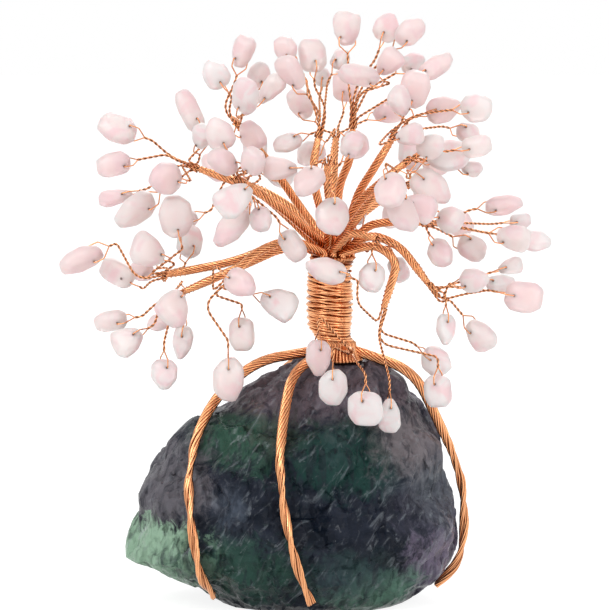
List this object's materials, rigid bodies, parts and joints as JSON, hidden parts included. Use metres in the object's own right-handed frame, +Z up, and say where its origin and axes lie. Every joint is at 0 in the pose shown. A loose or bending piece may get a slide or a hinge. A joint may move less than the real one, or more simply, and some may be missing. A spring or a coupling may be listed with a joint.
{
  "type": "gemstone tree ornament",
  "caption": "Table ornament: a little tree of drilled rose quartz chips on twisted copper wire, its wire roots gripping a raw fluorite block; low chips swing.",
  "frame": {"origin": "on the flat underside of the fluorite block, below the tree", "axes": "+Z up along the trunk, -Y towards the viewer of the picture, +X to the viewer's right"},
  "size_m": [0.1131, 0.0686, 0.1359],
  "materials": {
    "fluorite": "rough fractured, part translucent",
    "rose_quartz": "tumbled, frosted translucent",
    "copper": "bright drawn wire"
  },
  "bodies": {
    "tree": {"rock_base": "fluorite", "trunk_core": "copper", "trunk_winding": "copper", "root_left": "copper", "root_front": "copper", "root_right": "copper", "root_back_right": "copper", "root_back_left": "copper", "left_tip_twigs": "copper", "left_low_twigs": "copper", "left_drop_twigs": "copper", "left_far_twigs": "copper", "left_mid_twigs": "copper", "left_top_twigs": "copper", "crown_left_twigs": "copper", "crown_front_twigs": "copper", "crown_top_twigs": "copper", "crown_right_twigs": "copper", "right_upper_twigs": "copper", "right_front_twigs": "copper", "right_arm_twigs": "copper", "right_low_twigs": "copper", "right_drop_twigs": "copper", "right_inner_twigs": "copper", "trunk_front_twigs": "copper", "back_left_twigs": "copper", "back_right_twigs": "copper", "back_top_twigs": "copper", "left_tip_chips": "rose_quartz", "left_low_chips": "rose_quartz", "left_drop_chips": "rose_quartz", "left_far_chips": "rose_quartz", "left_mid_chips": "rose_quartz", "left_top_chips": "rose_quartz", "crown_left_chips": "rose_quartz", "crown_front_chips": "rose_quartz", "crown_top_chips": "rose_quartz", "crown_right_chips": "rose_quartz", "right_upper_chips": "rose_quartz", "right_front_chips": "rose_quartz", "right_arm_chips": "rose_quartz", "right_low_chips": "rose_quartz", "right_drop_chips": "rose_quartz", "right_inner_chips": "rose_quartz", "back_left_chips": "rose_quartz", "back_right_chips": "rose_quartz", "back_top_chips": "rose_quartz"},
    "hanging_chip_far_left": {"hanging_chip_far_left": "rose_quartz"},
    "hanging_chip_left": {"hanging_chip_left": "rose_quartz"},
    "hanging_chip_mid_left": {"hanging_chip_mid_left": "rose_quartz"},
    "hanging_chip_right": {"hanging_chip_right": "rose_quartz"},
    "hanging_chip_far_right": {"hanging_chip_far_right": "rose_quartz"},
    "hanging_chip_low_right": {"hanging_chip_low_right": "rose_quartz"},
    "hanging_chip_inner": {"hanging_chip_inner": "rose_quartz"},
    "hanging_chip_trunk": {"hanging_chip_trunk": "rose_quartz"},
    "hanging_chip_low_front": {"hanging_chip_low_front": "rose_quartz"},
    "hanging_chip_low_mid": {"hanging_chip_low_mid": "rose_quartz"}
  },
  "joints": [
    {"name": "hanging_chip_far_left_swing", "type": "hinge", "parent": "tree", "child": "hanging_chip_far_left", "pos_m": [-0.03062, -0.0168, 0.05623], "axis": [0.3665, -0.9304, 0], "range_deg": [-22, 22]},
    {"name": "hanging_chip_left_swing", "type": "hinge", "parent": "tree", "child": "hanging_chip_left", "pos_m": [-0.01624, -0.0136, 0.05549], "axis": [0.0523, -0.9986, 0], "range_deg": [-22, 22]},
    {"name": "hanging_chip_mid_left_swing", "type": "hinge", "parent": "tree", "child": "hanging_chip_mid_left", "pos_m": [-0.01322, -0.008, 0.06452], "axis": [-0.2672, -0.9636, 0], "range_deg": [-22, 22]},
    {"name": "hanging_chip_right_swing", "type": "hinge", "parent": "tree", "child": "hanging_chip_right", "pos_m": [0.03318, -0.0096, 0.06574], "axis": [0.2334, -0.9724, 0], "range_deg": [-22, 22]},
    {"name": "hanging_chip_far_right_swing", "type": "hinge", "parent": "tree", "child": "hanging_chip_far_right", "pos_m": [0.03132, -0.0128, 0.05192], "axis": [-0.3987, -0.9171, 0], "range_deg": [-22, 22]},
    {"name": "hanging_chip_low_right_swing", "type": "hinge", "parent": "tree", "child": "hanging_chip_low_right", "pos_m": [0.02018, -0.0192, 0.04737], "axis": [0.1392, -0.9903, 0], "range_deg": [-22, 22]},
    {"name": "hanging_chip_inner_swing", "type": "hinge", "parent": "tree", "child": "hanging_chip_inner", "pos_m": [0.01624, -0.0152, 0.07804], "axis": [0.3584, -0.9336, 0], "range_deg": [-7, 22]},
    {"name": "hanging_chip_trunk_swing", "type": "hinge", "parent": "tree", "child": "hanging_chip_trunk", "pos_m": [0.00418, -0.01661, 0.06021], "axis": [0.2672, -0.9636, 0], "range_deg": [-22, 22]},
    {"name": "hanging_chip_low_front_swing", "type": "hinge", "parent": "tree", "child": "hanging_chip_low_front", "pos_m": [0.00742, -0.02377, 0.05447], "axis": [-0.0523, -0.9986, 0], "range_deg": [-22, 22]},
    {"name": "hanging_chip_low_mid_swing", "type": "hinge", "parent": "tree", "child": "hanging_chip_low_mid", "pos_m": [0.01462, -0.02921, 0.05022], "axis": [-0.3665, -0.9304, 0], "range_deg": [-22, 22]}
  ]
}
